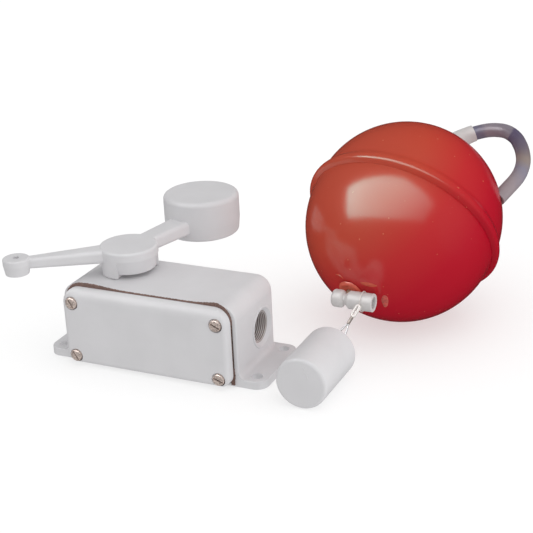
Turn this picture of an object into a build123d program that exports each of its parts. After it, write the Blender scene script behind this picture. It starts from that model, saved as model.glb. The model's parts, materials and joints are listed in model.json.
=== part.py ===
from build123d import *
import os
from math import acos, asin, atan2, cos, degrees, pi, radians, sin, sqrt, tan

# Float-operated level switch: a cast switch housing that bolts down by its
# flange, a counterweighted lever on a vertical shaft, a ball float with a
# hose-covered handle, and a sinker weight on a wire leader under the float.
# Millimetres, +Z up. The origin is the centre of the four flange holes on the
# base face. The cover faces -Y and the conduit entry faces +X.

# ---- housing ----
half_width = 71.5
front_y = -32.9
back_y = 30.8
height = 62.8
wall = 5.0
corner_r = 12.0
back_edge_r = 3.8
flange_half_x = 91.0
flange_half_y = 32.9
flange_t = 6.3
flange_corner_r = 9.0
flange_fillet_r = 1.7
side_cove_r = 5.0
hole_half_x = 82.0
hole_half_y = 23.9
hole_r = 4.1

# ---- conduit entry, 3/4 inch pipe thread ----
port_y = 9.3
port_z = 29.4
port_r = 12.2
port_rim_r = 14.6
port_wall = 12.0

# ---- cover, gasket and cover screws ----
gasket_t = 1.2
cover_t = 8.0
cover_half_x = 68.0
cover_z0 = 1.6
cover_z1 = 62.0
cover_top_drop = 9.0
cover_bottom_r = 4.5
screw_half_x = 59.7
screw_low_z = 8.2
screw_high_z = 50.8
screw_r = 2.45
screw_head_r = 4.5
screw_head_h = 2.8
screw_seat_r = 5.4
screw_seat_depth = 1.6
screw_length = 21.5
screw_hole_depth = 15.5
screw_boss_r = 7.6
slot_w = 1.2

# ---- shaft, bushes and stop ----
shaft_x = -35.0
shaft_y = 5.0
shaft_r = 5.0
running_gap = 0.05
bush_r = 7.0
bush_lip_r = 9.0
bush_lip_t = 1.4
lower_bush_z = 4.0
lower_bush_top = 13.0
upper_bush_z = 46.0
upper_bush_top = 58.4
seal_z = 58.8
seal_depth = 0.9
clip_z = 43.1
clip_t = 1.2
groove_r = 4.2
shaft_top = 81.0
stop_r0 = 15.8
stop_r1 = 20.8
stop_h = 3.2
stop_mid_deg = 157.0
stop_half_deg = 27.0

# ---- lever ----
lever_top = 83.8
hub_r = 22.3
hub_t = 7.0
skirt_r0 = 19.8
skirt_r1 = 21.9
skirt_bottom = 66.4
lever_pin_r = 2.0
lever_pin_z = 71.4
lug_bottom = 63.5
lug_r = 22.0
lug_spans = ((230.0, 274.0), (40.0, 84.0))
eye_x = -101.1
eye_y = -46.6
eye_r = 10.1
eye_h = 12.4
eye_hole_r = 2.5
disc_x = -17.0
disc_y = 91.0
disc_r = 30.2
disc_top = 98.5
disc_h = 32.5
swing_deg = 45.0

# ---- float ----
ball_r = 74.8
ball_stretch = 4.4
ball_wall = 3.0
ball_centre = Vector(139.9, 129.8, 77.09)
band_az = -97.5
band_el = -31.3
band_rear = -8.5
band_crest = 2.3
band_front = 6.4
band_rise = 4.2
band_step = 0.4
back_hole_az = 85.7
back_hole_el = 23.8
front_hole_az = -104.0
front_hole_el = -24.1
tube_r = 6.5
tube_wall = 1.6
rim_r = 8.6
rim_rise = 0.8
toggle_reach = 11.0

# ---- handle hose, its cable and sleeve; route in the handle plane ----
hose_r = 5.75
hose_wall = 1.6
cable_r = 2.7
handle_route = (
    (-12.4, 81.2),
    (-8.5, 96.0),
    (0.0, 110.0),
    (13.0, 119.0),
    (27.0, 121.0),
    (39.5, 115.0),
    (51.0, 103.0),
    (60.0, 88.5),
    (64.0, 72.0),
    (60.2, 44.0),
)
sleeve_start = (-11.6, 77.0)
sleeve_end = (2.3, 111.9)
sleeve_base_r = 11.0
sleeve_middle_r = 8.4
sleeve_mouth_r = 6.8
socket_r = 8.6
socket_depth = 9.0

# ---- toggle, leader and weight ----
toggle_centre = Vector(129.0, 47.9, 42.9)
toggle_r = 6.9
toggle_half = 16.2
toggle_cup_r = 4.4
toggle_cup_depth = 12.0
leader_x = 136.6
wrap_r = 7.6
wrap_wire_r = 0.4
eye_len = 11.0
eye_width = 4.7
eye_slot = 1.5
eye_t = 2.0
crimp_at = 10.4
crimp_len = 6.2
crimp_r = 1.25
leader_wire_r = 0.55
loop_r = 4.5
weight_r = 19.2
weight_len = 57.6
weight_near_y = -47.9
weight_x = 126.4
weight_eye_gap = 5.0
weight_eye_r = 3.6
weight_eye_wire_r = 1.1

# ---- switches ----
case_x0 = -9.5
case_x1 = 14.5
case_y0 = -27.0
case_y1 = 22.0
case_t = 17.0
case_z = {"low": 9.0, "high": 27.0}
cam_mid_r = 12.0
cam_rise_per_deg = 2.0 / 45.0
cam_t = 5.0
cam_hub_r = 8.5
cam_hub_h = 5.0
roller_r = 4.5
roller_gap = 0.35
pin_r = 0.8
arm_pin_x = -13.5
arm_pin_y = -21.0
plunger_y = -11.0
plunger_r = 1.6
terminal_ys = (-19.0, -2.5, 14.0)
terminal_reach = 6.5
switch_screw_x = 2.5
switch_screw_ys = (-14.5, 10.5)

# ---- terminal block and ground screw ----
strip_x = 41.0
strip_half = 8.0
strip_y0 = -28.0
strip_y1 = 23.0
strip_h = 10.0
strip_screw_ys = (-24.0, 19.0)
way_pitch = 6.2
way_y0 = -17.9
ways = 6
lead_z = 11.5
lead_r = 1.0
ground_x = 57.0
ground_y = -9.0


def unit(az, el):
    """Unit vector from an azimuth and an elevation in degrees."""
    turn = radians(az)
    rise = radians(el)
    return Vector(cos(turn) * cos(rise), sin(turn) * cos(rise), sin(rise))


def block(x0, x1, y0, y1, z0, z1):
    """A box between two corners."""
    size = Box(x1 - x0, y1 - y0, z1 - z0)
    return Pos((x0 + x1) / 2, (y0 + y1) / 2, (z0 + z1) / 2) * size


def rod(r, start, end):
    """A solid cylinder between two points."""
    foot = Vector(*start)
    path = Vector(*end) - foot
    return Plane(origin=foot, z_dir=path) * Pos(0, 0, path.length / 2) * Cylinder(r, path.length)


def upright(r, x, y, z0, z1):
    """A vertical cylinder."""
    return Pos(x, y, (z0 + z1) / 2) * Cylinder(r, z1 - z0)


def rounded_panel(half_x, z0, z1, top_r, bottom_r):
    """A face in the XZ plane with its own top and bottom corner radii."""
    outline = Pos(0, (z0 + z1) / 2) * Rectangle(2 * half_x, z1 - z0)
    outline = fillet(outline.vertices().group_by(Axis.Y)[-1], top_r)
    if bottom_r > 0:
        outline = fillet(outline.vertices().group_by(Axis.Y)[0], bottom_r)
    return Plane.XZ * outline


def panel_solid(half_x, z0, z1, top_r, bottom_r, y0, y1):
    """The panel, extruded from y0 to y1."""
    face = Pos(0, y1, 0) * rounded_panel(half_x, z0, z1, top_r, bottom_r)
    return extrude(face, amount=y1 - y0, dir=(0, -1, 0))


def sector(r0, r1, start_deg, end_deg, z0, z1):
    """Part of a ring about the shaft's axis."""
    a = radians(start_deg)
    b = radians(end_deg)
    mid = (a + b) / 2

    def at(r, t):
        return (r * cos(t), r * sin(t))

    outer = ThreePointArc(at(r1, a), at(r1, mid), at(r1, b))
    inner = ThreePointArc(at(r0, b), at(r0, mid), at(r0, a))
    side_b = Line(at(r1, b), at(r0, b))
    side_a = Line(at(r0, a), at(r1, a))
    face = make_face([outer, side_b, inner, side_a])
    return Pos(shaft_x, shaft_y, z0) * extrude(face, amount=z1 - z0)


def write(name, shape):
    """Writes one named part."""
    export_step(shape, "parts/" + name + ".step")


def cover_screw_places():
    return [(sx * screw_half_x, z) for z in (screw_high_z, screw_low_z) for sx in (-1, 1)]


# ---------------------------------------------------------------- housing

def is_inside_flange(edge):
    """True for the line where the housing's walls meet the flange."""
    c = edge.center()
    return abs(c.X) < half_width + 0.5 and front_y + 0.5 < c.Y < back_y + 0.5


def is_ear_edge(edge):
    """True for the flange's own outer top edges."""
    c = edge.center()
    return abs(c.X) > half_width + flange_fillet_r + 1 or c.Y > flange_half_y - 0.5


def side_cove(side):
    """The large soft fillet between a side wall and the flange, fading out at the back."""
    x = side * half_width

    def section(y, r):
        out = x + side * r
        deep = x - side
        low = flange_t - 0.5
        arc = RadiusArc((out, flange_t), (x, flange_t + r), side * r)
        rest = Polyline((x, flange_t + r), (deep, flange_t + r), (deep, low), (out, low), (out, flange_t))
        return Pos(0, y, 0) * (Plane.XZ * make_face([arc, rest]))

    straight_end = back_y - back_edge_r - 9.0
    straight = extrude(section(straight_end, side_cove_r), amount=straight_end - front_y, dir=(0, -1, 0))
    fade_end = back_y - back_edge_r - 0.5
    fade = loft([section(straight_end, side_cove_r), section(fade_end, flange_fillet_r - 0.3)])
    return straight + fade


def make_housing():
    shell = panel_solid(half_width, 0, height, corner_r, 0, front_y, back_y)
    back = shell.faces().sort_by(Axis.Y)[-1]
    rear_edges = [e for e in back.edges() if e.center().Z > 0.5]
    shell = fillet(rear_edges, back_edge_r)

    flange = Box(2 * flange_half_x, 2 * flange_half_y, flange_t)
    flange = Pos(0, 0, flange_t / 2) * flange
    flange = fillet(flange.edges().filter_by(Axis.Z), flange_corner_r)
    body = shell + flange
    at_flange_top = [e for e in body.edges() if abs(e.center().Z - flange_t) < 0.05]
    joint = [e for e in at_flange_top if is_inside_flange(e)]
    body = fillet(joint, flange_fillet_r)
    rim = [e for e in body.edges() if abs(e.center().Z - flange_t) < 0.05 and is_ear_edge(e)]
    body = fillet(rim, 0.8)
    for side in (-1, 1):
        body += side_cove(side)

    inner_x = half_width - wall
    cavity = panel_solid(inner_x, wall, height - wall, corner_r - wall, 2.0, front_y, back_y - wall)
    body -= cavity
    for x, z in cover_screw_places():
        boss = rod(screw_boss_r, (x, front_y, z), (x, front_y + screw_hole_depth + 1.5, z))
        body += boss & rounded_core()
    body += rod(17.5, (half_width - port_wall, port_y, port_z), (half_width - 1, port_y, port_z))
    body += upright(9.5, shaft_x, shaft_y, wall - 1, lower_bush_top)
    body += upright(12.0, shaft_x, shaft_y, upper_bush_z, height - 1)
    for y in switch_screw_ys:
        body += upright(4.0, switch_screw_x, y, wall - 1, wall + 2.0)
    body += upright(4.0, ground_x, ground_y, wall - 1, wall + 3.0)

    body += sector(stop_r0, stop_r1, stop_mid_deg - stop_half_deg,
                   stop_mid_deg + stop_half_deg, height - 1, height + stop_h)
    rim = rod(port_rim_r + 1.6, (half_width - 1, port_y, port_z), (half_width + 0.7, port_y, port_z))
    rim = fillet(rim.edges().sort_by(Axis.X)[-1], 0.6)
    body += rim

    body -= rod(port_r, (half_width - port_wall - 1, port_y, port_z), (half_width + 1, port_y, port_z))
    cone = Plane(origin=(half_width + 0.71, port_y, port_z), z_dir=(-1, 0, 0))
    body -= cone * Pos(0, 0, 1.3) * Cone(port_rim_r, port_r - 0.2, 2.6)
    burr = Plane(origin=(half_width - port_wall, port_y, port_z), z_dir=(1, 0, 0))
    body -= burr * Pos(0, 0, 0.25) * Cone(port_r + 0.6, port_r, 0.6)
    body -= upright(bush_r, shaft_x, shaft_y, lower_bush_z, lower_bush_top + 1)
    body -= upright(bush_r, shaft_x, shaft_y, upper_bush_z - 1, height - seal_depth)
    body -= upright(shaft_r + 0.25, shaft_x, shaft_y, upper_bush_z - 1, height + 1)
    for x in (-hole_half_x, hole_half_x):
        for y in (-hole_half_y, hole_half_y):
            body -= upright(hole_r, x, y, -1, flange_t + 1)
    for x, z in cover_screw_places():
        body -= rod(screw_r + 0.05, (x, front_y - 1, z), (x, front_y + screw_hole_depth, z))
    for y in switch_screw_ys:
        body -= upright(2.0, switch_screw_x, y, 2.5, wall + 3)
    body -= upright(2.0, ground_x, ground_y, 2.5, wall + 4)
    for y in strip_screw_ys:
        body -= upright(1.5, strip_x, y, 2.5, wall + 1)
    return body


def rounded_core():
    """The housing's outer block, which keeps bosses inside its skin."""
    return panel_solid(half_width - 1, 0.5, height - 1, corner_r - 1, 0, front_y, back_y - 1)


def make_gasket():
    y0 = front_y - gasket_t
    ring = panel_solid(cover_half_x + 0.5, cover_z0 - 0.3, cover_z1, corner_r, 8.0, y0, front_y)
    ring -= panel_solid(half_width - wall - 3, wall + 2.0, height - wall - 2.0, 6.0, 6.0, y0 - 1, front_y + 1)
    for x, z in cover_screw_places():
        ring += rod(5.5, (x, y0, z), (x, front_y, z)) & gasket_field(y0)
        ring -= rod(2.8, (x, y0 - 1, z), (x, front_y + 1, z))
    return ring


def gasket_field(y0):
    return panel_solid(cover_half_x + 0.5, cover_z0 - 0.3, cover_z1, corner_r, 8.0, y0, front_y)


def make_cover():
    y1 = front_y - gasket_t
    y0 = y1 - cover_t
    plate = panel_solid(cover_half_x, cover_z0, cover_z1, corner_r, 8.0, y0, y1)
    front = plate.faces().sort_by(Axis.Y)[0]
    plate = fillet(front.edges(), 3.6)
    with BuildSketch(Plane.YZ) as side:
        with BuildLine():
            Polyline((y0, cover_z1 - cover_top_drop), (y0, cover_z0 + cover_bottom_r))
            RadiusArc((y0, cover_z0 + cover_bottom_r), (y0 + cover_bottom_r, cover_z0), -cover_bottom_r)
            Polyline((y0 + cover_bottom_r, cover_z0), (y1, cover_z0), (y1, cover_z1))
            Bezier((y1, cover_z1), (y0 + 0.45 * cover_t, cover_z1),
                   (y0, cover_z1 - 0.45 * cover_top_drop), (y0, cover_z1 - cover_top_drop))
        make_face()
    plate &= extrude(side.sketch, amount=cover_half_x + 5, both=True)
    plate -= panel_solid(50.0, 16.0, 45.0, 5.0, 5.0, y1 - 4.0, y1 + 1)
    for x, z in cover_screw_places():
        plate -= rod(2.8, (x, y0 - 1, z), (x, y1 + 1, z))
        plate -= rod(screw_seat_r, (x, y0 - 4, z), (x, y0 + screw_seat_depth, z))
    return plate


def make_cover_screws():
    """Slotted fillister screws, each slot left where the screwdriver stopped."""
    seat_y = front_y - gasket_t - cover_t + screw_seat_depth
    slot_angles = (62.0, 25.0, 58.0, 20.0)
    screws = []
    for (x, z), angle in zip(cover_screw_places(), slot_angles):
        head = rod(screw_head_r, (x, seat_y, z), (x, seat_y - screw_head_h, z))
        head = fillet(head.edges().sort_by(Axis.Y)[0], 1.1)
        head += rod(screw_r, (x, seat_y - 0.5, z), (x, seat_y + screw_length, z))
        slot = Box(3 * screw_head_r, 1.6, slot_w)
        head -= Pos(x, seat_y - screw_head_h + 0.5, z) * Rot(0, angle, 0) * slot
        screws.append(head)
    return Compound(screws)


# ---------------------------------------------------------------- shaft line

def make_bush(z0, z1, lip_t):
    """A plain bush; a lip below it, if it has one, is a thrust face."""
    bush = upright(bush_r, shaft_x, shaft_y, z0, z1)
    if lip_t > 0:
        bush += upright(bush_lip_r, shaft_x, shaft_y, z0 - lip_t, z0)
    bush -= upright(shaft_r + running_gap, shaft_x, shaft_y, z0 - 5, z1 + 5)
    return bush


def make_seal():
    ring = upright(bush_r, shaft_x, shaft_y, seal_z, height - seal_depth)
    ring -= upright(shaft_r + running_gap, shaft_x, shaft_y, seal_z - 1, height)
    return fillet(ring.edges().group_by(Axis.Z)[-1], 0.6)


def make_shaft():
    shaft = upright(shaft_r, shaft_x, shaft_y, lower_bush_z + 0.6, shaft_top)
    shaft = chamfer(shaft.edges().sort_by(Axis.Z)[0], 0.8)
    groove = upright(shaft_r + 1, shaft_x, shaft_y, clip_z, clip_z + clip_t)
    shaft -= groove - upright(groove_r, shaft_x, shaft_y, clip_z - 1, clip_z + clip_t + 1)
    shaft -= rod(lever_pin_r, (shaft_x, shaft_y - 20, lever_pin_z), (shaft_x, shaft_y + 20, lever_pin_z))
    return shaft


def make_clip():
    clip = upright(8.2, shaft_x, shaft_y, clip_z + 0.05, clip_z + clip_t - 0.05)
    clip -= upright(groove_r, shaft_x, shaft_y, clip_z - 1, clip_z + clip_t + 1)
    clip -= block(shaft_x, shaft_x + 12, shaft_y - 2.6, shaft_y + 2.6, clip_z - 1, clip_z + clip_t + 1)
    return clip


# ---------------------------------------------------------------- lever

def arm_between(x0, y0, x1, y1, r0, r1, w0, w1, top0, top1, h0, h1):
    """A tapered bar from radius r0 of one boss to radius r1 of the next."""
    start = Vector(x0, y0, 0)
    path = Vector(x1, y1, 0) - start
    way = path.normalized()
    span = path.length

    def section(d, w, top, h):
        middle = start + way * d + Vector(0, 0, top - h / 2)
        face = Plane(origin=middle, x_dir=(-way.Y, way.X, 0), z_dir=way)
        return face * RectangleRounded(w, h, min(w, h) * 0.3)

    return loft([section(r0, w0, top0, h0), section(span - r1, w1, top1, h1)])


def make_lever():
    hub = upright(hub_r, shaft_x, shaft_y, lever_top - hub_t, lever_top)
    hub = fillet(hub.edges().sort_by(Axis.Z)[-1], 2.0)
    cone_h = lever_top - hub_t - skirt_bottom
    skirt = Pos(shaft_x, shaft_y, skirt_bottom + cone_h / 2) * Cone(skirt_r0, skirt_r1, cone_h)
    lever = hub + skirt
    for start, end in lug_spans:
        lever += sector(14.0, lug_r, start, end, lug_bottom, lever_top - hub_t + 1)
    lever += arm_between(shaft_x, shaft_y, eye_x, eye_y, 12.0, 5.0, 18.0, 8.4,
                         lever_top - 0.4, lever_top - 0.8, 11.0, 8.0)
    lever += arm_between(shaft_x, shaft_y, disc_x, disc_y, 12.0, 20.0, 16.5, 21.0,
                         lever_top - 0.4, lever_top - 0.4, 10.5, 11.5)
    upper = upright(eye_r, eye_x, eye_y, lever_top - 0.4 * eye_h, lever_top)
    lower = Pos(eye_x, eye_y, lever_top - 0.7 * eye_h) * Cone(eye_r - 1.2, eye_r, 0.6 * eye_h)
    eye = upper + lower
    eye = fillet(eye.edges().sort_by(Axis.Z)[-1], 1.2)
    lever += eye
    top_part = upright(disc_r, disc_x, disc_y, disc_top - 0.66 * disc_h, disc_top)
    low_part = Pos(disc_x, disc_y, disc_top - 0.83 * disc_h) * Cone(disc_r - 1.2, disc_r, 0.34 * disc_h)
    disc = top_part + low_part
    disc = fillet(disc.edges().sort_by(Axis.Z)[-1], 4.0)
    disc = fillet(disc.edges().sort_by(Axis.Z)[0], 2.5)
    lever += disc
    lever -= upright(shaft_r, shaft_x, shaft_y, skirt_bottom - 5, shaft_top)
    lever -= upright(eye_hole_r, eye_x, eye_y, lever_top - eye_h - 2, lever_top + 2)
    lever -= rod(lever_pin_r, (shaft_x, shaft_y - 10, lever_pin_z), (shaft_x, shaft_y + 25, lever_pin_z))
    return lever


def make_lever_pin():
    return rod(lever_pin_r, (shaft_x, shaft_y - 9.5, lever_pin_z), (shaft_x, shaft_y + 16.8, lever_pin_z))


# ---------------------------------------------------------------- switches

def cam_z(level):
    return case_z[level] + case_t / 2


def make_cam(level):
    """A spiral cam: its radius rises evenly over the lever's swing."""
    side = {"low": 1.0, "high": -1.0}[level]
    points = []
    for deg in range(-180, 180, 15):
        if abs(deg) <= 60:
            r = cam_mid_r + side * cam_rise_per_deg * deg
        else:
            blend = (180 - abs(deg)) / 120
            edge = cam_mid_r + side * cam_rise_per_deg * (60 if deg > 0 else -60)
            r = cam_mid_r - 1.5 + (edge - cam_mid_r + 1.5) * blend
        points.append((r * cos(radians(deg)), r * sin(radians(deg))))
    z0 = cam_z(level) - cam_t / 2
    edge = Spline(points, periodic=True)
    cam = Pos(shaft_x, shaft_y, z0) * extrude(make_face([edge]), amount=cam_t)
    cam += upright(cam_hub_r, shaft_x, shaft_y, z0 + cam_t, z0 + cam_t + cam_hub_h)
    cam -= upright(shaft_r, shaft_x, shaft_y, z0 - 10, z0 + 20)
    z = cam_screw_z(level)
    cam -= rod(1.5, (shaft_x, shaft_y, z), (shaft_x - 12, shaft_y, z))
    return cam


def cam_screw_z(level):
    return cam_z(level) + (cam_t + cam_hub_h) / 2


def make_cam_screw(level):
    z = cam_screw_z(level)
    return rod(1.5, (shaft_x - shaft_r, shaft_y, z), (shaft_x - cam_hub_r + 0.1, shaft_y, z))


def roller_x():
    return shaft_x + cam_mid_r + roller_gap + roller_r


def make_case(level):
    z0 = case_z[level]
    z = cam_z(level)
    case = block(case_x0, case_x1, case_y0, case_y1, z0, z0 + case_t)
    case = fillet(case.edges().filter_by(Axis.Z), 1.2)
    for dz in (-6.0, 6.0):
        ear = block(arm_pin_x - 1.8, case_x0 + 1, arm_pin_y - 2, arm_pin_y + 2, z + dz - 0.8, z + dz + 0.8)
        case += ear
    case -= upright(pin_r, arm_pin_x, arm_pin_y, z0, z0 + case_t)
    case -= rod(plunger_r + 0.06, (case_x0 - 1, plunger_y, z), (case_x0 + 6.0, plunger_y, z))
    for y in switch_screw_ys:
        case -= upright(2.1, switch_screw_x, y, z0 - 1, z0 + case_t + 1)
    return case


def make_terminals(level):
    z = cam_z(level)
    tabs = []
    for y in terminal_ys:
        tab = block(case_x1, case_x1 + terminal_reach, y - 3.2, y + 3.2, z - 0.5, z + 0.5)
        tab += upright(2.3, case_x1 + 3.4, y, z + 0.5, z + 2.2)
        tab -= block(case_x1, case_x1 + 6, y - 0.35, y + 0.35, z + 1.4, z + 3)
        tabs.append(tab)
    return Compound(tabs)


def make_arm_pin(level):
    z = cam_z(level)
    return upright(pin_r, arm_pin_x, arm_pin_y, z - 6.8, z + 6.8)


def make_arm(level):
    z = cam_z(level)
    way = Vector(roller_x() - arm_pin_x, shaft_y - arm_pin_y, 0)
    frame = Plane(origin=(arm_pin_x, arm_pin_y, z), x_dir=way, z_dir=(0, 0, 1))
    strip = frame * Pos(way.length / 2 - 2.6, 1.3, 0) * Box(way.length - 5.2, 0.9, 9.6)
    strip += upright(1.75, arm_pin_x, arm_pin_y, z - 4.8, z + 4.8)
    for dz in (-3.9, 3.9):
        strip += frame * Pos(way.length - 1.5, 0.9, dz) * Box(7.5, 3.2, 1.6)
    strip -= upright(pin_r + running_gap, arm_pin_x, arm_pin_y, z - 6, z + 6)
    strip -= upright(0.9, roller_x(), shaft_y, z - 6, z + 6)
    return strip


def make_roller(level):
    z = cam_z(level)
    wheel = upright(roller_r, roller_x(), shaft_y, z - 2.7, z + 2.7)
    return wheel - upright(0.9 + running_gap, roller_x(), shaft_y, z - 4, z + 4)


def make_roller_pin(level):
    z = cam_z(level)
    return upright(0.9, roller_x(), shaft_y, z - 5.2, z + 5.2)


def make_plunger(level):
    z = cam_z(level)
    t = (plunger_y - arm_pin_y) / (shaft_y - arm_pin_y)
    arm_x = arm_pin_x + t * (roller_x() - arm_pin_x)
    tip_x = arm_x + 2.3
    button = rod(plunger_r, (tip_x, plunger_y, z), (case_x0 + 4.6, plunger_y, z))
    return fillet(button.edges().sort_by(Axis.X)[0], 0.7)


def make_switch_plate():
    plate = block(case_x0 - 1, case_x1 + 1, case_y0 - 1, case_y1 + 0.5, wall + 2.0, case_z["low"])
    for y in switch_screw_ys:
        plate -= upright(2.1, switch_screw_x, y, 0, 20)
    return plate


def make_switch_screws():
    top = case_z["high"] + case_t
    screws = []
    x = switch_screw_x
    for y in switch_screw_ys:
        screw = upright(1.95, x, y, 3.2, top + 0.5) + upright(3.6, x, y, top, top + 2.6)
        screw -= block(x - 5, x + 5, y - 0.5, y + 0.5, top + 1.5, top + 4)
        screws.append(screw)
    return Compound(screws)


# ---------------------------------------------------------------- terminals

def way_y(index):
    """The place of one way of the terminal block."""
    return way_y0 + way_pitch * index


def make_terminal_block():
    x0 = strip_x - strip_half
    x1 = strip_x + strip_half
    strip = block(x0, x1, strip_y0, strip_y1, wall, wall + strip_h)
    for i in range(ways + 1):
        y = way_y(i) - way_pitch / 2
        strip += block(x0, x1, y - 0.6, y + 0.6, wall + strip_h - 1, wall + strip_h + 4)
    for y in strip_screw_ys:
        strip -= upright(1.6, strip_x, y, 0, 30)
    for i in range(ways):
        y = way_y(i)
        strip -= upright(1.5, strip_x, y, wall + 4, wall + strip_h + 2)
        for side in (-1, 1):
            outer = strip_x + side * (strip_half + 1)
            inner = strip_x + side * (strip_half - 3)
            strip -= rod(1.2, (outer, y, lead_z), (inner, y, lead_z))
    return strip


def small_screw(x, y, z0, z1, head_r):
    """An M3 pan screw down to z0, whose head sits at z1."""
    screw = upright(1.45, x, y, z0, z1 + 0.5) + upright(head_r, x, y, z1, z1 + 2.0)
    return screw - block(x - 3, x + 3, y - 0.4, y + 0.4, z1 + 1.2, z1 + 3)


def make_terminal_screws():
    top = wall + strip_h
    return Compound([small_screw(strip_x, way_y(i), wall + 4.5, top, 2.2) for i in range(ways)])


def make_block_screws():
    top = wall + strip_h
    return Compound([small_screw(strip_x, y, 3.0, top, 2.1) for y in strip_screw_ys])


def make_ground_screw():
    screw = upright(1.95, ground_x, ground_y, 3.0, wall + 4)
    screw += upright(4.2, ground_x, ground_y, wall + 3.0, wall + 5.6)
    return screw - block(ground_x - 6, ground_x + 6, ground_y - 0.6, ground_y + 0.6, wall + 4.6, wall + 8)


def corner_radii(points):
    """0.45 of the shorter run over the tangent of half the turn, at each corner."""
    spots = [Vector(*p) for p in points]
    radii = []
    for a, b, c in zip(spots, spots[1:], spots[2:]):
        run = min((b - a).length, (c - b).length)
        turn = (b - a).get_angle(c - b)
        radii.append(0.45 * run / tan(radians(turn) / 2))
    return radii


def tube_along(points, r, radii=None):
    """A round solid along straight runs joined by tangent arcs."""
    path = FilletPolyline(*points, radius=radii or corner_radii(points))
    start = Plane(origin=path @ 0, z_dir=path % 0)
    return sweep(start * Circle(r), path=path)


def make_leads(level):
    """Three hook-up wires from a switch's terminals to the terminal block."""
    z = cam_z(level)
    first = {"low": 0, "high": 3}[level]
    near = strip_x - strip_half + 2.9
    far = strip_x + strip_half - 2.9
    tab_end = case_x1 + terminal_reach
    wires = []
    for i, y in enumerate(terminal_ys):
        end_y = way_y(first + i)
        if level == "low":
            route = ((tab_end, y, z), (25.5, y, z), (28.5, end_y, lead_z), (near, end_y, lead_z))
        else:
            route = ((tab_end, y, z), (27.0, y, z), (45.0, end_y, z - 4), (57.0, end_y, 24.0),
                     (57.0, end_y, lead_z), (far, end_y, lead_z))
        radii = [min(3.0, r) for r in corner_radii(route)]
        wires.append(tube_along(route, lead_r, radii))
    return Compound(wires)


# ---------------------------------------------------------------- float

band_axis = unit(band_az, band_el)
pole_r = ball_r + ball_stretch
front_hole = ball_centre + unit(front_hole_az, front_hole_el) * (pole_r - 0.05)
back_hole = ball_centre + unit(back_hole_az, back_hole_el) * (pole_r - 0.05)
tube_axis = (front_hole - back_hole).normalized()
ball_plane = Plane(origin=ball_centre, x_dir=band_axis.cross(Vector(0, 0, 1)), z_dir=band_axis)


def handle_plane():
    """The plane of the handle's loop, through the ball's centre."""
    away = -unit(front_hole_az, front_hole_el)
    side = away.cross(Vector(0, 0, 1)).normalized()
    return Plane(origin=ball_centre, x_dir=side, z_dir=side.cross(away))


def on_ball(r, w):
    """The point of the ball's outline at w along its axis: two half rounds set apart."""
    beyond = max(abs(w) - ball_stretch, 0)
    return (sqrt(r * r - beyond * beyond), w)


def tube_and_rims(r):
    """The passage through the float, with a rim round each hole."""
    tube = rod(r, back_hole, front_hole)
    out = tube_axis * rim_rise
    front_rim = rod(rim_r, (front_hole - out * 2), (front_hole + out))
    back_rim = rod(rim_r, (back_hole + out * 2), (back_hole - out))
    return tube + front_rim + back_rim


def make_front_shell():
    inner = ball_r - ball_wall
    with BuildSketch(Plane.XZ) as half:
        with BuildLine():
            Line((inner, 0), (ball_r, 0))
            Line((ball_r, 0), (ball_r, ball_stretch))
            CenterArc((0, ball_stretch), ball_r, 0, 90)
            Line((0, ball_stretch + ball_r), (0, ball_stretch + inner))
            CenterArc((0, ball_stretch), inner, 0, 90)
            Line((inner, ball_stretch), (inner, 0))
        make_face()
    shell = revolve(half.sketch, Axis.Z)
    shell = ball_plane * shell
    return shell - tube_and_rims(tube_r)


def socket_frame():
    """The end of the handle's route, and its last direction, in the handle plane."""
    end = Vector(*handle_route[-1])
    way = (end - Vector(*handle_route[-2])).normalized()
    return end, way


def make_rear_shell():
    """The rear half, with the band that laps over the front half and the handle's socket."""
    inner = ball_r - ball_wall
    seam = 0.02
    rear_foot = on_ball(ball_r, band_rear)
    crest = (ball_r + band_rise, band_crest)
    foot_r = on_ball(ball_r, band_front)[0]
    slope = asin((-band_rear - ball_stretch) / ball_r)
    with BuildSketch(Plane.XZ) as half:
        with BuildLine():
            CenterArc((0, -ball_stretch), ball_r, -90, 90 - degrees(slope))
            Spline(rear_foot, crest, tangents=((sin(slope), cos(slope)), (0, 1)))
            Spline(crest, (foot_r + band_step, band_front), tangents=((0, 1), (-0.85, 0.5)))
            Line((foot_r + band_step, band_front), (foot_r + seam, band_front))
            ThreePointArc((foot_r + seam, band_front),
                          on_ball(ball_r + seam, (band_front + ball_stretch) / 2),
                          (ball_r + seam, ball_stretch))
            Line((ball_r + seam, ball_stretch), (ball_r + seam, 0.0))
            Line((ball_r + seam, 0.0), (inner, 0.0))
            Line((inner, 0.0), (inner, -ball_stretch))
            CenterArc((0, -ball_stretch), inner, -90, 90)
            Line((0, -inner - ball_stretch), (0, -ball_r - ball_stretch))
        make_face()
    shell = revolve(half.sketch, Axis.Z)
    shell = ball_plane * shell
    plane = handle_plane()
    end, way = socket_frame()

    def place(distance):
        return plane.from_local_coords(end + way * distance)

    rear_centre = ball_centre - band_axis * ball_stretch
    cup = rod(socket_r, place(-6.0), place(socket_depth))
    shell += cup & (Pos(*rear_centre) * Sphere(ball_r - 0.3))
    shell -= rod(hose_r + 0.01, place(-16.0), place(0.02))
    shell -= rod(cable_r + 0.02, place(-4.0), place(6.0))
    return shell - tube_and_rims(tube_r)


def make_tube():
    tube = tube_and_rims(tube_r)
    far = tube_axis * 20
    return tube - rod(tube_r - tube_wall, (back_hole - far), (front_hole + far))


def handle_points():
    plane = handle_plane()
    return [plane.from_local_coords(Vector(t, w, 0)) for t, w in handle_route]


def make_hose():
    points = handle_points()
    return tube_along(points, hose_r) - tube_along(points, hose_r - hose_wall)


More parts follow.
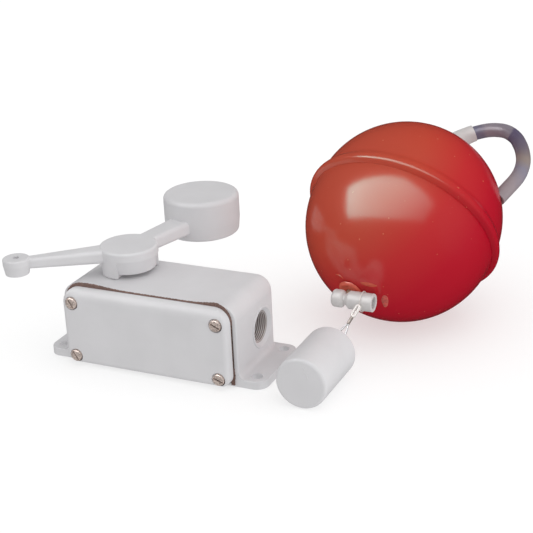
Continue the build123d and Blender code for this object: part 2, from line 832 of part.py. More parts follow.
def make_sleeve():
    plane = handle_plane()
    start = Vector(*sleeve_start)
    middle = Vector(*handle_route[1])
    end = Vector(*sleeve_end)
    stations = (
        (start, middle - start, sleeve_base_r),
        (middle, Vector(0.25, 1.0), sleeve_middle_r),
        (end, Vector(0.66, 0.75), sleeve_mouth_r),
    )
    rings = []
    for spot, way, r in stations:
        foot = plane.from_local_coords(spot)
        ahead = plane.from_local_coords(spot + way)
        rings.append(Plane(origin=foot, z_dir=ahead - foot) * Circle(r))
    sleeve = loft(rings)
    sleeve -= tube_along(handle_points(), hose_r + 0.01)
    sleeve -= rod(hose_r + 0.01, back_hole + tube_axis * 5, handle_points()[0])
    sleeve -= tube_and_rims(tube_r)
    rear_centre = ball_centre - band_axis * ball_stretch
    return sleeve - Pos(*rear_centre) * Sphere(ball_r + rim_rise + 0.2)


def make_cable():
    """From inside the toggle, through the float and the hose, into the side socket."""
    plane = handle_plane()
    points = handle_points()
    end, way = socket_frame()
    inside = plane.from_local_coords(end + way * 5.8)
    start = front_hole + tube_axis * toggle_reach
    middle = (front_hole + back_hole) * 0.5 + Vector(0, 0, 0.4)
    route = [start, middle] + points[:-1] + [inside]
    return tube_along(route, cable_r)


# ---------------------------------------------------------------- toggle and leader

def make_toggle():
    """A turned bar: a round knob, a neck, and a cup that is open at its right end."""
    x0 = -toggle_half
    with BuildSketch(Plane.XZ) as half:
        with BuildLine():
            Polyline((x0, 0), (x0, 4.3))
            RadiusArc((x0, 4.3), (x0 + 2.4, 6.7), 2.4)
            Line((x0 + 2.4, 6.7), (x0 + 6.8, 6.7))
            RadiusArc((x0 + 6.8, 6.7), (x0 + 9.2, 4.3), 2.4)
            Polyline((x0 + 9.2, 4.3), (x0 + 10.6, 4.2), (x0 + 13.6, toggle_r), (toggle_half, toggle_r),
                     (toggle_half, toggle_cup_r), (toggle_half - toggle_cup_depth, toggle_cup_r),
                     (toggle_half - toggle_cup_depth - 1.5, 0), (x0, 0))
        make_face()
    bar = revolve(half.sketch, Axis.X)
    rims = bar.edges().filter_by(lambda e: abs(e.center().X - toggle_half) < 0.01)
    bar = fillet(rims, 0.6)
    bar = Pos(*toggle_centre) * bar
    start = front_hole + tube_axis * (toggle_reach + 0.02)
    return bar - rod(cable_r + 0.02, front_hole - tube_axis * 3, start)


leader_top = Vector(leader_x, toggle_centre.Y - wrap_r - 0.2, toggle_centre.Z + 0.4)
leader_foot = Vector(weight_x, weight_near_y + weight_len + weight_eye_gap, weight_r)
leader_way = (leader_foot - leader_top).normalized()
leader_len = (leader_foot - leader_top).length


def teardrop(plane, loop_r, apex, half_gap, tail, wire_r):
    """A wire loop round the plane's origin whose legs close up at the apex."""
    reach = sqrt(apex * apex + half_gap * half_gap)
    touch = acos(loop_r / reach) + atan2(half_gap, apex)
    corners = 4
    half = (2 * pi - 2 * touch) / (2 * corners)
    corner_reach = loop_r / cos(half)
    flat = [(tail, half_gap), (apex, half_gap)]
    for i in range(corners):
        turn = touch + half * (2 * i + 1)
        flat.append((corner_reach * cos(turn), corner_reach * sin(turn)))
    flat += [(apex, -half_gap), (tail, -half_gap)]
    points = [plane.from_local_coords(Vector(x, y, 0)) for x, y in flat]
    return tube_along(points, wire_r)


def make_leader_eye():
    """A coated slotted eye, hung from a thin wrap of wire round the toggle."""
    wrap = Plane(origin=(leader_x, toggle_centre.Y, toggle_centre.Z), z_dir=(1, 0, 0)) * Torus(wrap_r, wrap_wire_r)
    side = leader_way.cross(Vector(1, 0, 0)).normalized()
    across = side.cross(leader_way)
    face = Plane(origin=leader_top + leader_way * (eye_len / 2 - 0.4), x_dir=leader_way,
                 z_dir=leader_way.cross(across))
    link = extrude(SlotOverall(eye_len, eye_width), amount=eye_t / 2, both=True)
    hole = extrude(SlotOverall(eye_len - 3.2, eye_slot), amount=eye_t, both=True)
    link = fillet(link.edges().filter_by(Axis.Z, reverse=True), 0.7) - hole
    return wrap + face * link


def make_crimp():
    start = leader_top + leader_way * crimp_at
    end = start + leader_way * crimp_len
    sleeve = rod(crimp_r, start, end)
    return fillet(sleeve.edges().filter_by(GeomType.CIRCLE), 0.5)


def make_leader_loop():
    """The two thin wires from the crimp, closed round the weight's eye."""
    side = leader_way.cross(Vector(1, 0, 0)).normalized()
    across = side.cross(leader_way)
    centre = leader_foot - leader_way * loop_r
    plane = Plane(origin=centre, x_dir=-leader_way, z_dir=across.cross(leader_way))
    apex = leader_len - crimp_at - crimp_len - loop_r
    return teardrop(plane, loop_r, apex, leader_wire_r, apex + 2.0, leader_wire_r)


def make_weight():
    body = rod(weight_r, (weight_x, weight_near_y, weight_r), (weight_x, weight_near_y + weight_len, weight_r))
    body = fillet(body.edges().filter_by(GeomType.CIRCLE), 2.6)
    far_y = weight_near_y + weight_len
    return body - rod(weight_eye_wire_r, (weight_x, far_y - 14, weight_r), (weight_x, far_y + 1, weight_r))


def make_weight_eye():
    far_y = weight_near_y + weight_len
    ring = Plane(origin=leader_foot, z_dir=(1, 0, 0)) * Torus(weight_eye_r, weight_eye_wire_r)
    shank = rod(weight_eye_wire_r, (weight_x, far_y - 13, weight_r),
                (weight_x, far_y + weight_eye_gap - weight_eye_r, weight_r))
    return ring + shank


def main():
    os.makedirs("parts", exist_ok=True)
    write("housing", make_housing())
    write("cover", make_cover())
    write("cover_gasket", make_gasket())
    write("cover_screws", make_cover_screws())
    write("upper_bush", make_bush(upper_bush_z, upper_bush_top, bush_lip_t))
    write("lower_bush", make_bush(lower_bush_z, lower_bush_top, 0))
    write("shaft_seal", make_seal())
    write("lever_shaft", make_shaft())
    write("shaft_clip", make_clip())
    write("lever", make_lever())
    write("lever_pin", make_lever_pin())
    write("switch_plate", make_switch_plate())
    write("switch_screws", make_switch_screws())
    write("terminal_block", make_terminal_block())
    write("terminal_screws", make_terminal_screws())
    write("block_screws", make_block_screws())
    write("ground_screw", make_ground_screw())
    for level in ("low", "high"):
        write(level + "_cam", make_cam(level))
        write(level + "_cam_screw", make_cam_screw(level))
        write(level + "_switch_case", make_case(level))
        write(level + "_switch_terminals", make_terminals(level))
        write(level + "_arm_pin", make_arm_pin(level))
        write(level + "_roller_arm", make_arm(level))
        write(level + "_roller_pin", make_roller_pin(level))
        write(level + "_roller", make_roller(level))
        write(level + "_plunger", make_plunger(level))
        write(level + "_leads", make_leads(level))
    write("float_front_shell", make_front_shell())
    write("float_rear_shell", make_rear_shell())
    write("float_tube", make_tube())
    write("handle_sleeve", make_sleeve())
    write("handle_hose", make_hose())
    write("float_cable", make_cable())
    write("toggle", make_toggle())
    write("leader_eye", make_leader_eye())
    write("leader_crimp", make_crimp())
    write("leader_loop", make_leader_loop())
    write("weight", make_weight())
    write("weight_eye", make_weight_eye())
    print("handle radii", [round(r) for r in corner_radii(handle_points())])


main()
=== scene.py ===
"""Float level switch: studio scene, looks and small surface details."""
import json
import math

import bpy
from mathutils import Matrix, Vector


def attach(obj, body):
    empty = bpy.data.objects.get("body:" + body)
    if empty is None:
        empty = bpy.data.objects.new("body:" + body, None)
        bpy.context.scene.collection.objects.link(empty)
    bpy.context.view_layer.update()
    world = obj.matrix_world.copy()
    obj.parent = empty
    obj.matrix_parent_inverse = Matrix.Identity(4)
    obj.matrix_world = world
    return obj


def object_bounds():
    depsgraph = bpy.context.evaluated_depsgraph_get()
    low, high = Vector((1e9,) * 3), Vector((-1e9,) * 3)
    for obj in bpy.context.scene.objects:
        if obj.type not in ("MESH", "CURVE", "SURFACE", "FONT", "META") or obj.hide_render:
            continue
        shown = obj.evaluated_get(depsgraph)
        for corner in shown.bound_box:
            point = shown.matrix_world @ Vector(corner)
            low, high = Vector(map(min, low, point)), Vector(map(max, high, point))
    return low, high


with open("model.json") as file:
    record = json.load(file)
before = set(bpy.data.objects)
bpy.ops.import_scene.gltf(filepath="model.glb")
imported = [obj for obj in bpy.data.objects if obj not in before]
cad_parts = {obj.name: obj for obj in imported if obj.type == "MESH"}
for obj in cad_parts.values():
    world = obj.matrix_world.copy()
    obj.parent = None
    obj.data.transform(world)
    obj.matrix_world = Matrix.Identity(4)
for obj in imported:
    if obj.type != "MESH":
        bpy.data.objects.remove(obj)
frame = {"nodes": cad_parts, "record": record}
cad_low, cad_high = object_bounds()
scene = bpy.context.scene
scene.view_settings.view_transform = "Standard"

# ---------------------------------------------------------------- camera
AZ, EL, ROLL = math.radians(25.71), math.radians(22.34), math.radians(-2.72)
CAMERA_AT = (0.4567, -0.7784, 0.4376)
LENS = 88.33
BACK = Vector((math.sin(AZ) * math.cos(EL), -math.cos(AZ) * math.cos(EL), math.sin(EL)))
LEVEL = (-BACK).cross(Vector((0, 0, 1))).normalized()
RISE = LEVEL.cross(-BACK)
RIGHT = LEVEL * math.cos(ROLL) + RISE * math.sin(ROLL)
UP = RISE * math.cos(ROLL) - LEVEL * math.sin(ROLL)
camera_data = bpy.data.cameras.new("camera")
camera_data.lens = LENS
camera_data.sensor_width = 36.0
camera_data.clip_end = 60.0
camera = bpy.data.objects.new("camera", camera_data)
scene.collection.objects.link(camera)
turn = Matrix((RIGHT, UP, BACK)).transposed().to_4x4()
camera.matrix_world = Matrix.Translation(CAMERA_AT) @ turn
scene.camera = camera

# ---------------------------------------------------------------- key sizes, metres
BALL = Vector((0.1399, 0.1298, 0.07709))
BALL_R = 0.0748
BALL_HALF = 0.0044
BAND = Vector((
    math.cos(math.radians(-31.3)) * math.cos(math.radians(-97.5)),
    math.cos(math.radians(-31.3)) * math.sin(math.radians(-97.5)),
    math.sin(math.radians(-31.3)),
))
PORT = Vector((0.0715, 0.0093, 0.0294))
PORT_R = 0.0122
THREAD_PITCH = 0.00155
THREAD_START = -0.0108
WEIGHT_END = Vector((0.1264, -0.0479, 0.0192))
SCREWS = (  # across, up, and the slot's angle
    (-0.0597, 0.0508, 62), (0.0597, 0.0508, 25), (-0.0597, 0.0082, 58), (0.0597, 0.0082, 20),
)
SLOT_Y = -0.0424
SEAT_Y = -0.0405
HOSE_MIDDLE = Vector((0.192, 0.209, 0.1087))


def lin(r, g, b):
    """A colour given as 0 to 255 steps, as linear light."""
    out = []
    for c in (r, g, b):
        c = c / 255
        out.append(c / 12.92 if c <= 0.04045 else ((c + 0.055) / 1.055) ** 2.4)
    return (*out, 1.0)


# ---------------------------------------------------------------- materials
def node(tree, kind, **values):
    """A new node, with any of its settings."""
    n = tree.nodes.new(kind)
    for key, value in values.items():
        setattr(n, key, value)
    return n


def start(name, rough=0.5, metal=0.0, ior=1.5, coat=0.0, coat_rough=0.05):
    """A new material with its node tree and shader."""
    m = bpy.data.materials.new(name)
    m.use_nodes = True
    tree = m.node_tree
    shader = tree.nodes["Principled BSDF"]
    shader.inputs["Roughness"].default_value = rough
    shader.inputs["Metallic"].default_value = metal
    shader.inputs["IOR"].default_value = ior
    shader.inputs["Coat Weight"].default_value = coat
    shader.inputs["Coat Roughness"].default_value = coat_rough
    return m, tree, shader


def object_point(tree):
    return node(tree, "ShaderNodeTexCoord").outputs["Object"]


def noise(tree, point, scale, detail=2.0, rough=0.5):
    n = node(tree, "ShaderNodeTexNoise")
    n.inputs["Scale"].default_value = scale
    n.inputs["Detail"].default_value = detail
    n.inputs["Roughness"].default_value = rough
    tree.links.new(point, n.inputs["Vector"])
    return n.outputs["Fac"]


def ramp(tree, fac, stops):
    n = node(tree, "ShaderNodeValToRGB")
    while len(n.color_ramp.elements) < len(stops):
        n.color_ramp.elements.new(0.5)
    for e, (at, colour) in zip(n.color_ramp.elements, stops):
        e.position = at
        e.color = colour
    tree.links.new(fac, n.inputs["Fac"])
    return n.outputs["Color"]


def bump(tree, shader, height, distance, strength=1.0):
    n = node(tree, "ShaderNodeBump")
    n.inputs["Strength"].default_value = strength
    n.inputs["Distance"].default_value = distance
    tree.links.new(height, n.inputs["Height"])
    tree.links.new(n.outputs["Normal"], shader.inputs["Normal"])


def scaled(colour, k):
    return (colour[0] * k, colour[1] * k, colour[2] * k, 1.0)


def mottled(name, colour, amount=0.04, scale=60, bump_scale=900, depth=0.00004, **look):
    """A plain finish with faint unevenness in its colour and surface."""
    m, tree, shader = start(name, **look)
    point = object_point(tree)
    tone = noise(tree, point, scale, 4.0)
    made = ramp(tree, tone, [(0.3, scaled(colour, 1 - amount)), (0.7, scaled(colour, 1 + amount))])
    tree.links.new(made, shader.inputs["Base Color"])
    if depth:
        bump(tree, shader, noise(tree, point, bump_scale, 3.0), depth)
    return m


def along(tree, point, way, low, high):
    """0 to 1 as the point goes from low to high along a direction."""
    dot = node(tree, "ShaderNodeVectorMath", operation="DOT_PRODUCT")
    tree.links.new(point, dot.inputs[0])
    dot.inputs[1].default_value = way
    fit = node(tree, "ShaderNodeMapRange")
    fit.inputs["From Min"].default_value = low
    fit.inputs["From Max"].default_value = high
    tree.links.new(dot.outputs["Value"], fit.inputs["Value"])
    return fit.outputs["Result"]


def make_white():
    """Baked coating over a slightly uneven casting."""
    m, tree, shader = start("white_coat", rough=0.42, ior=1.45)
    shader.inputs["Specular IOR Level"].default_value = 0.2
    point = object_point(tree)
    tone = noise(tree, point, 35, 5.0)
    base = lin(208, 207, 209)
    made = ramp(tree, tone, [(0.3, scaled(base, 0.965)), (0.7, scaled(base, 1.025))])
    tree.links.new(made, shader.inputs["Base Color"])
    coarse = noise(tree, point, 260, 3.0, 0.55)
    bump(tree, shader, coarse, 0.00012, 0.55)
    return m


def make_red():
    """Glossy red with painted light and shade: lit orange towards the upper left, painted shade as darker
    crimson towards the lower right, with a few pale specks.
    """
    m, tree, shader = start("float_red", rough=0.2, ior=1.6)
    shader.inputs["Specular IOR Level"].default_value = 0.5
    shader.inputs["Specular Tint"].default_value = (0.24, 1.0, 0.9, 1)
    point = object_point(tree)
    # painted light and shade: the base colour darkens from lit orange to shaded crimson across the ball
    way = (RIGHT * 0.66 - UP * 0.6 - BACK * 0.3).normalized()
    shade_ramp_middle = BALL.dot(way)
    place = along(tree, point, way, shade_ramp_middle - 0.08, shade_ramp_middle + 0.08)
    stops = [
        (0.0, lin(190, 78, 58)), (0.22, lin(190, 68, 50)), (0.42, lin(187, 38, 42)),
        (0.62, lin(178, 10, 35)), (1.0, lin(166, 6, 32)),
    ]
    made = ramp(tree, place, stops)
    specks = ramp(tree, noise(tree, point, 330, 1.0), [(0.77, (0, 0, 0, 1)), (0.8, (1, 1, 1, 1))])
    mix = node(tree, "ShaderNodeMix", data_type="RGBA")
    tree.links.new(specks, mix.inputs["Factor"])
    tree.links.new(made, mix.inputs["A"])
    mix.inputs["B"].default_value = lin(206, 112, 84)
    tree.links.new(mix.outputs["Result"], shader.inputs["Base Color"])
    bump(tree, shader, noise(tree, point, 120, 3.0), 0.0001, 0.25)
    return m


def make_hose():
    """Smoky clear hose with its tone painted as light and shade round the handle: painted shade in a dark
    band at the kink and painted light on the lighter stretches, with fine lengthwise streaks.
    """
    m, tree, shader = start("clear_hose", rough=0.3, ior=1.45)
    point = object_point(tree)
    parts = []
    for way in (UP, RIGHT):
        dot = node(tree, "ShaderNodeVectorMath", operation="DOT_PRODUCT")
        tree.links.new(point, dot.inputs[0])
        dot.inputs[1].default_value = way
        less = node(tree, "ShaderNodeMath", operation="SUBTRACT")
        tree.links.new(dot.outputs["Value"], less.inputs[0])
        less.inputs[1].default_value = HOSE_MIDDLE.dot(way)
        parts.append(less.outputs["Value"])
    angle = node(tree, "ShaderNodeMath", operation="ARCTAN2")
    tree.links.new(parts[0], angle.inputs[0])
    tree.links.new(parts[1], angle.inputs[1])
    fit = node(tree, "ShaderNodeMapRange")
    fit.inputs["From Min"].default_value = math.radians(125)
    fit.inputs["From Max"].default_value = math.radians(-95)
    tree.links.new(angle.outputs["Value"], fit.inputs["Value"])
    wobble = node(tree, "ShaderNodeMath", operation="MULTIPLY_ADD")
    tree.links.new(noise(tree, point, 130, 3.0), wobble.inputs[0])
    wobble.inputs[1].default_value = 0.12
    tree.links.new(fit.outputs["Result"], wobble.inputs[2])
    # painted light and shade along the hose: darker at the start, a dark painted-shade band at the kink,
    # lighter stretches towards the end
    stops = [
        (0.06, lin(108, 106, 128)), (0.12, lin(118, 112, 128)), (0.16, lin(138, 129, 138)),
        (0.34, lin(132, 124, 134)), (0.36, lin(92, 83, 108)), (0.52, lin(112, 102, 114)),
        (0.66, lin(142, 128, 122)), (0.82, lin(132, 127, 142)), (1.0, lin(150, 138, 142)),
    ]
    tree.links.new(ramp(tree, wobble.outputs["Value"], stops), shader.inputs["Base Color"])
    bump(tree, shader, noise(tree, point, 180, 2.0), 0.0003, 0.5)
    return m


looks = {
    "white_coat": make_white(),
    "gasket_brown": mottled("gasket_brown", lin(58, 42, 38), 0.35, 400, 1500, 0.0001, rough=0.8),
    "seal_black": mottled("seal_black", lin(28, 28, 29), 0.1, rough=0.6),
    "screw_steel": mottled("screw_steel", lin(206, 190, 181), 0.5, 1100, rough=0.3, metal=0.3),
    "steel": mottled("steel", lin(182, 182, 184), 0.08, 300, rough=0.3, metal=0.55),
    "bronze": mottled("bronze", lin(186, 150, 96), 0.1, 500, rough=0.38, metal=0.6),
    "terminal_brass": mottled("terminal_brass", lin(205, 172, 104), 0.06, 300, rough=0.25, metal=0.6),
    "black_phenolic": mottled("black_phenolic", lin(34, 34, 37), 0.12, 200, rough=0.45),
    "nylon": mottled("nylon", lin(226, 222, 206), 0.03, 120, rough=0.4),
    "ground_green": mottled("ground_green", lin(52, 130, 70), 0.08, 300, rough=0.35, metal=0.6),
    "lead_blue": mottled("lead_blue", lin(48, 70, 140), 0.06, 300, rough=0.4),
    "float_red": make_red(),
    "white_plastic": mottled("white_plastic", lin(200, 197, 196), 0.03, 90, 500, 0.00005, rough=0.42),
    "clear_hose": make_hose(),
    "cable_grey": mottled(
        "cable_grey", lin(150, 128, 108), 0.15, 500, 1200, 0.0001, rough=0.4, metal=0.5
    ),
    "wire_white": mottled("wire_white", lin(214, 208, 204), 0.04, 300, rough=0.3, coat=0.3),
    "crimp_metal": mottled("crimp_metal", lin(150, 140, 134), 0.3, 600, rough=0.4, metal=0.3),
}
slots = {p["node"]: p["material_slot"] for p in frame["record"]["subparts"]}
for name, obj in frame["nodes"].items():
    obj.data.materials.clear()
    obj.data.materials.append(looks[slots[name]])


# ---------------------------------------------------------------- small made pieces
def add_mesh(name, verts, faces, material, body, smooth=True):
    """A new piece that rides a body."""
    mesh = bpy.data.meshes.new(name)
    mesh.from_pydata([tuple(v) for v in verts], [], faces)
    mesh.validate()
    mesh.update()
    for p in mesh.polygons:
        p.use_smooth = smooth
    obj = bpy.data.objects.new(name, mesh)
    scene.collection.objects.link(obj)
    mesh.materials.append(material)
    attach(obj, body)
    return obj


def square_to(way):
    """Two unit directions across a way."""
    way = way.normalized()
    side = way.cross(Vector((0, 0, 1)))
    if side.length < 0.05:
        side = Vector((1, 0, 0))
    side.normalize()
    return side, way.cross(side).normalized()


def lathe(name, origin, way, profile, material, body, steps=64):
    """Turns (distance, radius) pairs round a way; both ends stay open."""
    side, other = square_to(way)
    way = way.normalized()
    verts, faces, rings = [], [], []
    for s, r in profile:
        centre = origin + way * s
        rings.append(list(range(len(verts), len(verts) + steps)))
        for i in range(steps):
            a = math.tau * i / steps
            verts.append(centre + (side * math.cos(a) + other * math.sin(a)) * r)
    for a, b in zip(rings, rings[1:]):
        for i in range(steps):
            j = (i + 1) % steps
            faces.append((a[i], a[j], b[j], b[i]))
    return add_mesh(name, verts, faces, material, body)


def tube(name, points, radii, material, body, steps):
    """A round rod through points, with one radius per point."""
    verts, faces = [], []
    count = len(points)
    side = None
    for i, p in enumerate(points):
        before = points[i - 1] if i else p
        after = points[i + 1] if i + 1 < count else p
        way = (after - before).normalized()
        if side is None:
            side = square_to(way)[0]
        side = (side - way * side.dot(way)).normalized()
        other = way.cross(side)
        for k in range(steps):
            a = math.tau * k / steps
            verts.append(p + (side * math.cos(a) + other * math.sin(a)) * radii[i])
    for i in range(count - 1):
        for k in range(steps):
            j = (k + 1) % steps
            faces.append((i * steps + k, i * steps + j, (i + 1) * steps + j, (i + 1) * steps + k))
    faces.append(tuple(reversed(range(steps))))
    faces.append(tuple(range((count - 1) * steps, count * steps)))
    return add_mesh(name, verts, faces, material, body)


# pipe thread turns inside the conduit entry, with painted shade in the grooves and painted highlights on
# the crests
inside, inside_tree, inside_shader = start("port_inside", rough=0.5)
first = PORT.x + THREAD_START
turns = along(inside_tree, object_point(inside_tree), (1, 0, 0), first, first + THREAD_PITCH)
inside_tree.nodes[-1].clamp = False
part = node(inside_tree, "ShaderNodeMath", operation="FRACT")
inside_tree.links.new(turns, part.inputs[0])
# painted shade (dark) at the grooves and painted highlight (light) on the crests of each turn
stops = [
    (0.0, lin(122, 104, 98)), (0.35, lin(206, 200, 198)),
    (0.55, lin(214, 208, 206)), (0.8, lin(118, 100, 94)),
]
painted_thread_shade = ramp(inside_tree, part.outputs["Value"], stops)
inside_tree.links.new(painted_thread_shade, inside_shader.inputs["Base Color"])
across = Vector((1, 0, 0))
profile = [(-0.0113, PORT_R - 0.0001)]
for i in range(6):
    at = THREAD_START + i * THREAD_PITCH
    profile += [(at, PORT_R - 0.0001), (at + 0.0006, PORT_R - 0.0009), (at + 0.0008, PORT_R - 0.0009)]
    profile += [(at + 0.00125, PORT_R - 0.0001)]
lathe("port_thread", PORT, across, profile, inside, "housing", 96)

# the gasket's ragged edge, standing proud round the cover: a dark strip that is partly the gasket and
# partly a painted shadow along the joint, widest near the top corners
gasket_and_shadow = mottled("gasket_and_shadow_edge", lin(104, 78, 70), 0.5, 900, 1800, 0.0002, rough=0.85)


def cover_edge(t):
    """A point on the cover's outline and its outward way; t goes 0 to 1 from the left foot over the top."""
    x, low, top, r = 0.068, 0.0016, 0.062, 0.012
    runs = [top - r - low, math.pi / 2 * r, 2 * (x - r), math.pi / 2 * r, top - r - low]
    d = t * sum(runs)
    if d < runs[0]:
        return Vector((-x, 0, low + d)), Vector((-1, 0, 0))
    d -= runs[0]
    if d < runs[1]:
        a = d / r
        way = Vector((-math.cos(a), 0, math.sin(a)))
        return Vector((r - x, 0, top - r)) + way * r, way
    d -= runs[1]
    if d < runs[2]:
        return Vector((r - x + d, 0, top)), Vector((0, 0, 1))
    d -= runs[2]
    if d < runs[3]:
        a = d / r
        way = Vector((math.sin(a), 0, math.cos(a)))
        return Vector((x - r, 0, top - r)) + way * r, way
    d -= runs[3]
    return Vector((x, 0, top - r - d)), Vector((1, 0, 0))


SWELLS = ((0.0022, 0.305, 0.075), (0.0019, 0.735, 0.05), (0.0007, 0.97, 0.02))  # height, place, width


def ragged(t):
    """How far the dark strip, gasket and painted shadow, stands out of the joint at t."""
    swell = sum(high * math.exp(-((t - at) / wide) ** 2) for high, at, wide in SWELLS)
    base = 0.0008 if 0.22 < t < 0.74 else 0.0003
    rough = 0.00013 * math.sin(t * 610) + 0.0001 * math.sin(t * 1370 + 1)
    rough += 0.00008 * math.sin(t * 251 + 2)
    return max(0.0001, base + swell + rough)


verts, faces = [], []
STEPS = 420
for i in range(STEPS + 1):
    spot, way = cover_edge(i / STEPS)
    out_by = ragged(i / STEPS)
    for y, h in ((-0.0326, -0.002), (-0.0326, out_by * 0.8), (-0.0333, out_by), (-0.0341, out_by * 0.9),
                 (-0.0344, out_by * 0.5), (-0.0344, -0.002)):
        verts.append(Vector((spot.x, y, spot.z)) + way * h)
for i in range(STEPS):
    for k in range(6):
        n = (k + 1) % 6
        a, b = i * 6, i * 6 + 6
        faces.append((a + k, a + n, b + n, b + k))
faces += [tuple(range(6)), tuple(reversed(range(STEPS * 6, STEPS * 6 + 6)))]
add_mesh("gasket_and_shadow_edge", verts, faces, gasket_and_shadow, "housing", smooth=False)


def unit(az, el):
    """A unit direction from its turn round +Z and its height, in degrees."""
    az, el = math.radians(az), math.radians(el)
    return Vector((math.cos(el) * math.cos(az), math.cos(el) * math.sin(az), math.sin(el)))


# the float's front hole: a blob of sealant round the cable, and old glue marks
blob = mottled("float_sealant", lin(206, 92, 72), 0.1, 200, 400, 0.0004, rough=0.25)
front = BALL + unit(-104.0, -24.1) * (BALL_R + BALL_HALF)
back = BALL + unit(85.7, 23.8) * (BALL_R + BALL_HALF)
tube_way = (front - back).normalized()
profile = [(0.0002, 0.0098), (0.0012, 0.0093), (0.0019, 0.0084), (0.0021, 0.0074), (0.0017, 0.0064)]
profile += [(0.0013, 0.0050), (0.0019, 0.0036), (0.0017, 0.0029), (-0.002, 0.0029)]
lathe("hole_sealant", front, tube_way, profile, blob, "float")


def on_ball(right, up):
    """The front half ball's surface point at a place across the view from its centre."""
    centre = BALL + BAND * BALL_HALF
    flat = RIGHT * right + UP * up
    return centre + flat + BACK * math.sqrt(BALL_R ** 2 - flat.length_squared)


def ball_patch(name, right, up, wide, high, tilt, material, lift):
    """A thin patch that lies on the front half ball."""
    verts, faces = [], []
    rings, steps = 5, 28
    for i in range(rings + 1):
        for k in range(steps):
            a = math.tau * k / steps
            r = max(i / rings, 0.05)
            du = wide * r * math.cos(a) * (1 + 0.1 * math.sin(3 * a))
            dv = high * r * math.sin(a)
            du, dv = du * math.cos(tilt) - dv * math.sin(tilt), du * math.sin(tilt) + dv * math.cos(tilt)
            spot = on_ball(right + du, up + dv)
            out_way = (spot - BALL - BAND * BALL_HALF).normalized()
            verts.append(spot + out_way * (lift * (1 - r ** 6) - 0.00002))
    for i in range(rings):
        for k in range(steps):
            j = (k + 1) % steps
            faces.append((i * steps + k, i * steps + j, (i + 1) * steps + j, (i + 1) * steps + k))
    faces.append(tuple(reversed(range(steps))))
    return add_mesh(name, verts, faces, material, "float")


# a paler oval patch on the front half ball
pale_patch = mottled("float_pale_patch", lin(190, 84, 74), 0.3, 500, 900, 0.0002, rough=0.4)
glue = mottled("float_glue", lin(196, 84, 62), 0.15, 300, 600, 0.0003, rough=0.22)
ball_patch("pale_patch_right", -0.0168, -0.0574, 0.0024, 0.0048, 0.25, pale_patch, 0.0002)
ball_patch("glue_streak", -0.0297, -0.0449, 0.0060, 0.0014, -0.22, glue, 0.0004)
points, radii = [], []
for i in range(13):
    t = i / 12
    points.append(on_ball(-0.0532 + 0.0055 * t, -0.0375 - 0.0033 * t + 0.0010 * math.sin(math.pi * t)))
    radii.append(0.0002 + 0.0005 * math.sin(math.pi * t))
tube("glue_thread", points, radii, glue, "float", 8)

# painted shade: a dark fill in each screw slot and a dark crescent round the lower right of each head's
# seat
painted_shade = mottled("screw_painted_shade", lin(74, 52, 44), 0.4, 900, 1500, 0.0001, rough=0.7)
for number, (x, z, angle) in enumerate(SCREWS):
    a = math.radians(angle)
    way = Vector((math.cos(a), 0, -math.sin(a)))
    across = Vector((0, 1, 0)).cross(way)
    verts = []
    for run, wide in ((-0.0036, 0.00062), (0.0036, 0.00062)):
        for y, k in ((0.0, -1), (0.0, 1), (0.0006, 1), (0.0006, -1)):
            verts.append(Vector((x, SLOT_Y + y, z)) + way * run + across * wide * k)
    faces = [(0, 1, 2, 3), (4, 7, 6, 5), (0, 4, 5, 1), (1, 5, 6, 2), (2, 6, 7, 3), (3, 7, 4, 0)]
    add_mesh("slot_painted_shade_%d" % number, verts, faces, painted_shade, "housing", smooth=False)
    arc = []
    for i in range(17):
        a = math.radians(-100 + 130 * i / 16)
        arc.append(Vector((x + 0.0047 * math.cos(a), SEAT_Y - 0.0002, z + 0.0047 * math.sin(a))))
    radii = [0.0001 + 0.00035 * math.sin(math.pi * i / 16) for i in range(17)]
    tube("seat_painted_shade_%d" % number, arc, radii, painted_shade, "housing", 8)

# the casting mark on the weight's near end
mark = [
    (0.0020, 0.0150), (0.0034, 0.0120), (0.0030, 0.0098),
    (0.0052, 0.0080), (0.0058, 0.0048), (0.0050, 0.0030),
]
points = [WEIGHT_END + Vector((x, 0.00005, z)) for x, z in mark]
radii = [0.0001, 0.0003, 0.0003, 0.00035, 0.0003, 0.0001]
tube("weight_mark", points, radii, looks["white_coat"], "weight", 8)

# ---------------------------------------------------------------- stage
FLOOR_HALF = 8
FLOOR_TONE, FLOOR_GLOW = 0.5, 0.52
SKY_LEVEL, SKY_LEAN = 0.86, (0.1, 0.11, 0.0)
MIRRORED_SKY = 0.02
KEY_SIZE, KEY_POWER, KEY_AWAY = (2.0, 1.2), 3.0, 2.0
KEY_WAY = Vector((0.35, -0.1, 0.93)).normalized()
PANEL_WAY = (RIGHT * -0.315 + UP * 0.495 + BACK * 0.81).normalized()
PANEL_AWAY = 1.0
PANEL_OUTLINE = ((-1.18, -0.3456, 0), (0.9, -0.48, 0), (1.18, 0.088, 0), (0.2, 0.48, 0), (-1.18, 0.5376, 0))
PANEL_GLOW = (1.3, 8.2)

# white paper, seen by the camera but not lighting or mirrored by the object
w = FLOOR_HALF
floor_mesh = bpy.data.meshes.new("floor")
floor_mesh.from_pydata([(-w, -w, 0), (w, -w, 0), (w, w, 0), (-w, w, 0)], [], [(0, 1, 2, 3)])
floor = bpy.data.objects.new("floor", floor_mesh)
scene.collection.objects.link(floor)
floor.location = (0, 0, cad_low.z - 0.0002)
paper, paper_tree, paper_shader = start("paper", rough=0.9)
paper_shader.inputs["Base Color"].default_value = (FLOOR_TONE, FLOOR_TONE, FLOOR_TONE, 1)
paper_shader.inputs["Emission Color"].default_value = (1, 1, 1, 1)
paper_shader.inputs["Emission Strength"].default_value = FLOOR_GLOW
paper_shader.inputs["Specular IOR Level"].default_value = 0.0
floor_mesh.materials.append(paper)
floor.visible_glossy = False
floor.visible_diffuse = False

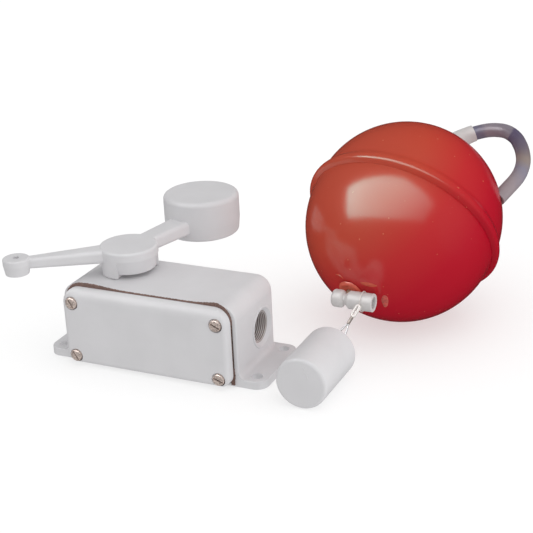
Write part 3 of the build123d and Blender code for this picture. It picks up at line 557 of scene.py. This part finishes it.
# even light all round, a little stronger from the back right; nearly black in reflections
world = bpy.data.worlds.new("world")
scene.world = world
world.use_nodes = True
wt = world.node_tree
wt.nodes.clear()
path = node(wt, "ShaderNodeLightPath")
sky = node(wt, "ShaderNodeBackground")
sky.inputs["Color"].default_value = (1, 1, 1, 1)
face = node(wt, "ShaderNodeTexCoord")
lean = node(wt, "ShaderNodeVectorMath", operation="DOT_PRODUCT")
lean.inputs[1].default_value = SKY_LEAN
wt.links.new(face.outputs["Generated"], lean.inputs[0])
level = node(wt, "ShaderNodeMath", operation="ADD")
level.inputs[1].default_value = SKY_LEVEL
wt.links.new(lean.outputs["Value"], level.inputs[0])
wt.links.new(level.outputs["Value"], sky.inputs["Strength"])
dim = node(wt, "ShaderNodeBackground")
dim.inputs["Color"].default_value = (1, 1, 1, 1)
dim.inputs["Strength"].default_value = MIRRORED_SKY
pick = node(wt, "ShaderNodeMixShader")
out = node(wt, "ShaderNodeOutputWorld")
wt.links.new(path.outputs["Is Glossy Ray"], pick.inputs["Fac"])
wt.links.new(sky.outputs["Background"], pick.inputs[1])
wt.links.new(dim.outputs["Background"], pick.inputs[2])
wt.links.new(pick.outputs["Shader"], out.inputs["Surface"])

# a large soft lamp overhead
lamp_data = bpy.data.lights.new("key", "AREA")
lamp_data.shape = "RECTANGLE"
lamp_data.size, lamp_data.size_y = KEY_SIZE
lamp_data.energy = KEY_POWER
lamp = bpy.data.objects.new("key", lamp_data)
scene.collection.objects.link(lamp)
facing = KEY_WAY.to_track_quat("Z", "Y").to_matrix().to_4x4()
lamp.matrix_world = Matrix.Translation(BALL + KEY_WAY * KEY_AWAY) @ facing
lamp.visible_glossy = False
lamp.visible_camera = False


def soft_fill(name, way, energy):
    """Even light from one way, without shadows or shine."""
    data = bpy.data.lights.new(name, "SUN")
    data.energy = energy
    data.angle = math.radians(60)
    data.use_shadow = False
    obj = bpy.data.objects.new(name, data)
    scene.collection.objects.link(obj)
    obj.matrix_world = Vector(way).to_track_quat("Z", "Y").to_matrix().to_4x4()
    obj.visible_glossy = False
    return obj


fills = [
    soft_fill("fill_right", (0.97, 0.05, 0.1), 0.78),
    soft_fill("fill_left", (-0.5, -0.85, 0.05), 0.34),
    soft_fill("fill_top", (0.1, 0.0, 1.0), 0.22),
]

# a softbox that only shows as a reflection
panel_mesh = bpy.data.meshes.new("softbox")
panel_mesh.from_pydata(PANEL_OUTLINE, [], [tuple(range(len(PANEL_OUTLINE)))])
panel = bpy.data.objects.new("softbox", panel_mesh)
scene.collection.objects.link(panel)
side = UP.cross(PANEL_WAY).normalized()
facing = Matrix((side, PANEL_WAY.cross(side), PANEL_WAY)).transposed().to_4x4()
panel.matrix_world = Matrix.Translation(BALL + PANEL_WAY * PANEL_AWAY) @ facing
glow, glow_tree, glow_shader = start("softbox_glow")
glow_tree.nodes.remove(glow_shader)
shine = node(glow_tree, "ShaderNodeEmission")
spot = node(glow_tree, "ShaderNodeTexCoord").outputs["Object"]
fade = node(glow_tree, "ShaderNodeMapRange")
fade.inputs["From Min"].default_value = -0.75
fade.inputs["From Max"].default_value = 0.95
fade.inputs["To Min"].default_value, fade.inputs["To Max"].default_value = PANEL_GLOW
slope = node(glow_tree, "ShaderNodeVectorMath", operation="DOT_PRODUCT")
slope.inputs[1].default_value = (-0.72, 0.69, 0.0)
glow_tree.links.new(spot, slope.inputs[0])
glow_tree.links.new(slope.outputs["Value"], fade.inputs["Value"])
glow_tree.links.new(fade.outputs["Result"], shine.inputs["Strength"])
glow_tree.links.new(shine.outputs["Emission"], glow_tree.nodes["Material Output"].inputs["Surface"])
panel_mesh.materials.append(glow)
panel.visible_camera = False
panel.visible_diffuse = False
panel.visible_shadow = False
panel.visible_transmission = False
